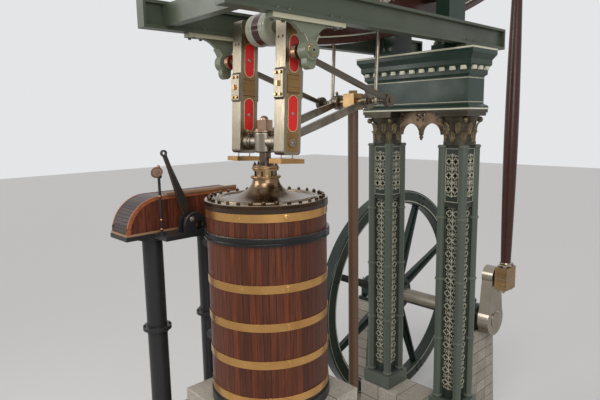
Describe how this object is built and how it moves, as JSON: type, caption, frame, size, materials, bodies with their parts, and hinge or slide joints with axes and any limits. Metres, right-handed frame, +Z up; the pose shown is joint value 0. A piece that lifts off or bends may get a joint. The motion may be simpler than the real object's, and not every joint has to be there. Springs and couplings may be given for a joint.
{
  "type": "rotative beam engine",
  "caption": "Rotative beam engine with a lagged steam cylinder, parallel motion, cast beam on columns, connecting rod, crank, flywheel and well pump on masonry.",
  "frame": {"origin": "on the steam cylinder's axis, at the underside of the masonry raft", "axes": "+X along the beam from the cylinder to the crank, +Z up, +Y to the flywheel's side"},
  "size_m": [12.2931, 5.93, 12.3785],
  "materials": {
    "stone": "dressed stone with lime joints",
    "black_iron": "black paint, worn to a soft shine",
    "polished_iron": "hand-polished cast iron, lightly oiled",
    "bright_steel": "bright draw-filed steel",
    "crosshead_steel": "oiled grey-brown steel",
    "bronze": "machined bronze, toned by oil",
    "brass": "polished sheet brass",
    "mahogany": "oiled mahogany staves",
    "green_iron": "dark green gloss paint with cream lines",
    "column_iron": "grey-green paint with cream pierced panels",
    "capital_gold": "bronze and gold paint",
    "beam_brown": "dark red-brown gloss paint",
    "red_panel": "bright red paint",
    "dark_steel": "dark oiled steel"
  },
  "bodies": {
    "root": {"foundation_raft": "stone", "foundation_piers": "stone", "cylinder_bottom": "black_iron", "cylinder_barrel": "polished_iron", "wood_lagging": "mahogany", "lagging_bands": "brass", "floor_ring": "black_iron", "cylinder_cover": "polished_iron", "cover_nuts": "black_iron", "stuffing_box": "bronze", "valve_chest": "black_iron", "steam_casing": "mahogany", "valve_pillar": "black_iron", "columns": "column_iron", "capitals": "capital_gold", "spandrel_arch": "capital_gold", "entablature": "green_iron", "trunnion_pedestals": "green_iron", "trunnion_caps": "bronze", "spring_beams": "green_iron", "radius_brackets": "column_iron", "pump_barrel": "black_iron", "crank_bearings": "green_iron"},
    "piston_set": {"piston": "polished_iron", "piston_rod": "bright_steel", "crosshead": "crosshead_steel"},
    "beam_set": {"beam": "beam_brown", "beam_pins": "bright_steel"},
    "main_links": {"link_straps": "bright_steel", "link_fillers": "bronze", "link_panels": "red_panel", "link_brasses": "bronze", "drip_trays": "brass"},
    "parallel_motion": {"parallel_bars": "bright_steel"},
    "back_link_set": {"back_links": "bright_steel"},
    "radius_rod_set": {"radius_rods": "dark_steel"},
    "pump_set": {"pump_rod": "beam_brown", "pump_crosshead": "bronze"},
    "connecting_set": {"connecting_rod": "beam_brown", "conrod_brasses": "bronze"},
    "flywheel_set": {"crank": "bright_steel", "crankshaft": "bright_steel", "flywheel_rim": "black_iron", "flywheel_arms": "black_iron"},
    "lever_set": {"starting_lever": "dark_steel"},
    "hand_wheel_set": {"hand_wheel": "dark_steel"}
  },
  "joints": [
    {"name": "flywheel_turn", "type": "hinge", "parent": "root", "child": "flywheel_set", "pos_m": [7.54312, 0, 3.56], "axis": [0, 1, 0], "range_deg": [0, 180]},
    {"name": "beam_rock", "type": "hinge", "parent": "root", "child": "beam_set", "pos_m": [3.81437, 0, 11.02059], "axis": [0, 1, 0], "range_deg": [0, 34.09]},
    {"name": "main_link_swing", "type": "hinge", "parent": "beam_set", "child": "main_links", "pos_m": [0.08563, 0, 9.87759], "axis": [0, -1, 0], "range_deg": [0, 34.09]},
    {"name": "parallel_bar_swing", "type": "hinge", "parent": "main_links", "child": "parallel_motion", "pos_m": [0, 0, 8.355], "axis": [0, 1, 0], "range_deg": [0, 34.09]},
    {"name": "back_link_swing", "type": "hinge", "parent": "beam_set", "child": "back_link_set", "pos_m": [1.95, 0, 10.44909], "axis": [0, -1, 0], "range_deg": [0, 34.09]},
    {"name": "radius_rod_swing", "type": "hinge", "parent": "root", "child": "radius_rod_set", "pos_m": [0, 0, 9.498], "axis": [0, -1, 0], "range_deg": [0, 34.09]},
    {"name": "piston_stroke", "type": "slide", "parent": "root", "child": "piston_set", "axis": [0, 0, 1], "range_m": [0, 2.2865]},
    {"name": "pump_stroke", "type": "slide", "parent": "root", "child": "pump_set", "axis": [0, 0, 1], "range_m": [0, 1.1435]},
    {"name": "connecting_rod_swing", "type": "hinge", "parent": "beam_set", "child": "connecting_set", "pos_m": [7.54312, 0, 12.16359], "axis": [0, -1, 0], "range_deg": [0, 34.09]},
    {"name": "starting_lever_swing", "type": "hinge", "parent": "root", "child": "lever_set", "pos_m": [-0.72, 0.91, 7.26], "axis": [0, 1, 0], "range_deg": [0, 40]},
    {"name": "hand_wheel_turn", "type": "hinge", "parent": "root", "child": "hand_wheel_set", "pos_m": [-1.08, 1.07, 7.91], "axis": [-0.6124, -0.6124, 0.5], "continuous": true}
  ],
  "couplings": [
    {"joint": "beam_rock", "follows": "flywheel_turn", "ratio": 0.18936},
    {"joint": "main_link_swing", "follows": "flywheel_turn", "ratio": 0.18936},
    {"joint": "parallel_bar_swing", "follows": "flywheel_turn", "ratio": 0.18936},
    {"joint": "back_link_swing", "follows": "flywheel_turn", "ratio": 0.18936},
    {"joint": "radius_rod_swing", "follows": "flywheel_turn", "ratio": 0.18936},
    {"joint": "piston_stroke", "follows": "flywheel_turn", "m_per_rad": 0.72766},
    {"joint": "pump_stroke", "follows": "flywheel_turn", "m_per_rad": 0.36383},
    {"joint": "connecting_rod_swing", "follows": "flywheel_turn", "ratio": 0.18936}
  ]
}
